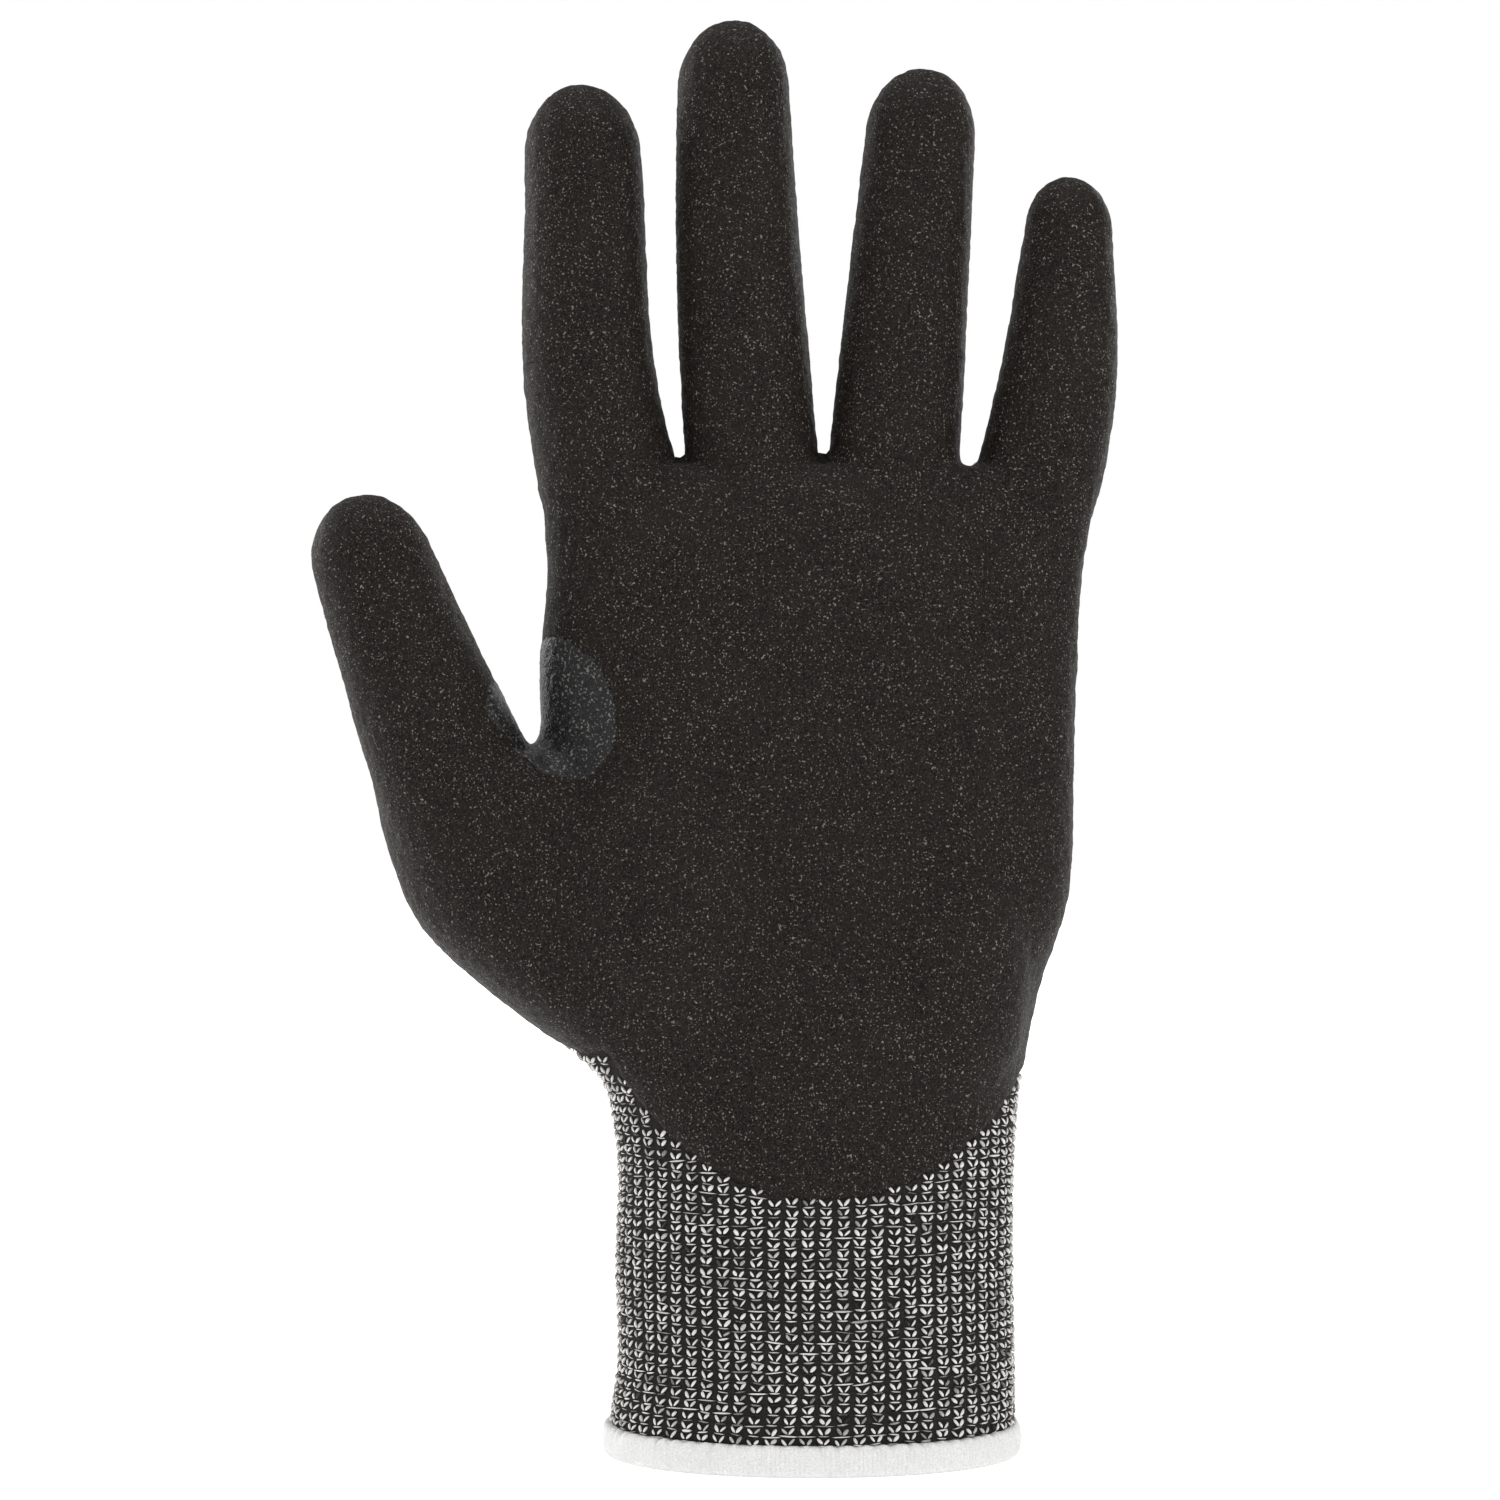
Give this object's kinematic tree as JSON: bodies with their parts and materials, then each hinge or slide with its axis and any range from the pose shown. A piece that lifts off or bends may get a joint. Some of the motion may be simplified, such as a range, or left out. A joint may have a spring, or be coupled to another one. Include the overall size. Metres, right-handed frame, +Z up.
{
  "type": "cut resistant glove",
  "caption": "Left-hand knitted work glove with a sandy palm coating, a glossy thumb crotch patch, a rib cuff and a white hem.",
  "frame": {"origin": "centre of the cuff's mouth", "axes": "+Z up towards the fingertips, palm faces -Y, thumb on the -X side"},
  "size_m": [0.1368, 0.0464, 0.2502],
  "materials": {
    "knit": "knitted, dark with white flecks",
    "rib": "rib knit of white and black strands",
    "elastic": "covered elastic thread",
    "hem": "white overlock thread",
    "coating": "sandy matt black film",
    "patch": "smooth shiny black film"
  },
  "bodies": {
    "cuff": {"cuff_rib": "rib", "cuff_elastic": "elastic", "hem_overlock": "hem"},
    "palm": {"liner_palm": "knit", "liner_back": "knit", "coating_palm": "coating", "thumb_crotch_patch": "patch"},
    "index_proximal": {"liner_index_proximal": "knit", "coating_index_proximal": "coating"},
    "index_middle": {"liner_index_middle": "knit", "coating_index_middle": "coating"},
    "index_distal": {"liner_index_distal": "knit", "coating_index_distal": "coating"},
    "middle_proximal": {"liner_middle_proximal": "knit", "coating_middle_proximal": "coating"},
    "middle_middle": {"liner_middle_middle": "knit", "coating_middle_middle": "coating"},
    "middle_distal": {"liner_middle_distal": "knit", "coating_middle_distal": "coating"},
    "ring_proximal": {"liner_ring_proximal": "knit", "coating_ring_proximal": "coating"},
    "ring_middle": {"liner_ring_middle": "knit", "coating_ring_middle": "coating"},
    "ring_distal": {"liner_ring_distal": "knit", "coating_ring_distal": "coating"},
    "little_proximal": {"liner_little_proximal": "knit", "coating_little_proximal": "coating"},
    "little_middle": {"liner_little_middle": "knit", "coating_little_middle": "coating"},
    "little_distal": {"liner_little_distal": "knit", "coating_little_distal": "coating"},
    "thumb_proximal": {"liner_thumb_proximal": "knit", "coating_thumb_proximal": "coating"},
    "thumb_distal": {"liner_thumb_distal": "knit", "coating_thumb_distal": "coating"}
  },
  "joints": [
    {"name": "wrist_bend", "type": "hinge", "parent": "cuff", "child": "palm", "pos_m": [0, 0, 0.048], "axis": [1, 0, 0], "range_deg": [-30, 30], "stiffness_Nm_per_rad": 0.15},
    {"name": "index_root_bend", "type": "hinge", "parent": "palm", "child": "index_proximal", "pos_m": [-0.03574, -0.00417, 0.17965], "axis": [0.9962, 0, 0.0872], "range_deg": [0, 75], "stiffness_Nm_per_rad": 0.02},
    {"name": "index_middle_bend", "type": "hinge", "parent": "index_proximal", "child": "index_middle", "pos_m": [-0.03767, -0.0039, 0.20171], "axis": [0.9962, 0, 0.0872], "range_deg": [0, 85], "stiffness_Nm_per_rad": 0.02},
    {"name": "index_tip_bend", "type": "hinge", "parent": "index_middle", "child": "index_distal", "pos_m": [-0.03936, -0.00366, 0.22101], "axis": [0.9962, 0, 0.0872], "range_deg": [0, 42.5], "stiffness_Nm_per_rad": 0.012},
    {"name": "middle_root_bend", "type": "hinge", "parent": "palm", "child": "middle_proximal", "pos_m": [-0.01071, -0.00386, 0.18123], "axis": [0.999, 0, 0.0454], "range_deg": [0, 75], "stiffness_Nm_per_rad": 0.02},
    {"name": "middle_middle_bend", "type": "hinge", "parent": "middle_proximal", "child": "middle_middle", "pos_m": [-0.01188, -0.00367, 0.2069], "axis": [0.999, 0, 0.0454], "range_deg": [0, 85], "stiffness_Nm_per_rad": 0.02},
    {"name": "middle_tip_bend", "type": "hinge", "parent": "middle_middle", "child": "middle_distal", "pos_m": [-0.0129, -0.00351, 0.22936], "axis": [0.999, 0, 0.0454], "range_deg": [0, 42.5], "stiffness_Nm_per_rad": 0.012},
    {"name": "ring_root_bend", "type": "hinge", "parent": "palm", "child": "ring_proximal", "pos_m": [0.01504, -0.0038, 0.18005], "axis": [0.9965, 0, -0.0837], "range_deg": [0, 75], "stiffness_Nm_per_rad": 0.02},
    {"name": "ring_middle_bend", "type": "hinge", "parent": "ring_proximal", "child": "ring_middle", "pos_m": [0.01697, -0.00363, 0.203], "axis": [0.9965, 0, -0.0837], "range_deg": [0, 85], "stiffness_Nm_per_rad": 0.02},
    {"name": "ring_tip_bend", "type": "hinge", "parent": "ring_middle", "child": "ring_distal", "pos_m": [0.01866, -0.00347, 0.22309], "axis": [0.9965, 0, -0.0837], "range_deg": [0, 42.5], "stiffness_Nm_per_rad": 0.012},
    {"name": "little_root_bend", "type": "hinge", "parent": "palm", "child": "little_proximal", "pos_m": [0.03978, -0.00357, 0.1774], "axis": [0.993, 0, -0.1184], "range_deg": [0, 75], "stiffness_Nm_per_rad": 0.02},
    {"name": "little_middle_bend", "type": "hinge", "parent": "little_proximal", "child": "little_middle", "pos_m": [0.0418, -0.00321, 0.1943], "axis": [0.993, 0, -0.1184], "range_deg": [0, 85], "stiffness_Nm_per_rad": 0.02},
    {"name": "little_tip_bend", "type": "hinge", "parent": "little_middle", "child": "little_distal", "pos_m": [0.04356, -0.00288, 0.20909], "axis": [0.993, 0, -0.1184], "range_deg": [0, 42.5], "stiffness_Nm_per_rad": 0.012},
    {"name": "thumb_root_bend", "type": "hinge", "parent": "palm", "child": "thumb_proximal", "pos_m": [-0.06251, -0.00727, 0.12815], "axis": [0.8992, 0.309, 0.3096], "range_deg": [0, 40], "stiffness_Nm_per_rad": 0.02},
    {"name": "thumb_tip_bend", "type": "hinge", "parent": "thumb_proximal", "child": "thumb_distal", "pos_m": [-0.06944, -0.00688, 0.14788], "axis": [0.8992, 0.309, 0.3096], "range_deg": [0, 60], "stiffness_Nm_per_rad": 0.012}
  ],
  "couplings": [
    {"joint": "index_tip_bend", "follows": "index_middle_bend", "ratio": 0.5},
    {"joint": "middle_tip_bend", "follows": "middle_middle_bend", "ratio": 0.5},
    {"joint": "ring_tip_bend", "follows": "ring_middle_bend", "ratio": 0.5},
    {"joint": "little_tip_bend", "follows": "little_middle_bend", "ratio": 0.5}
  ]
}
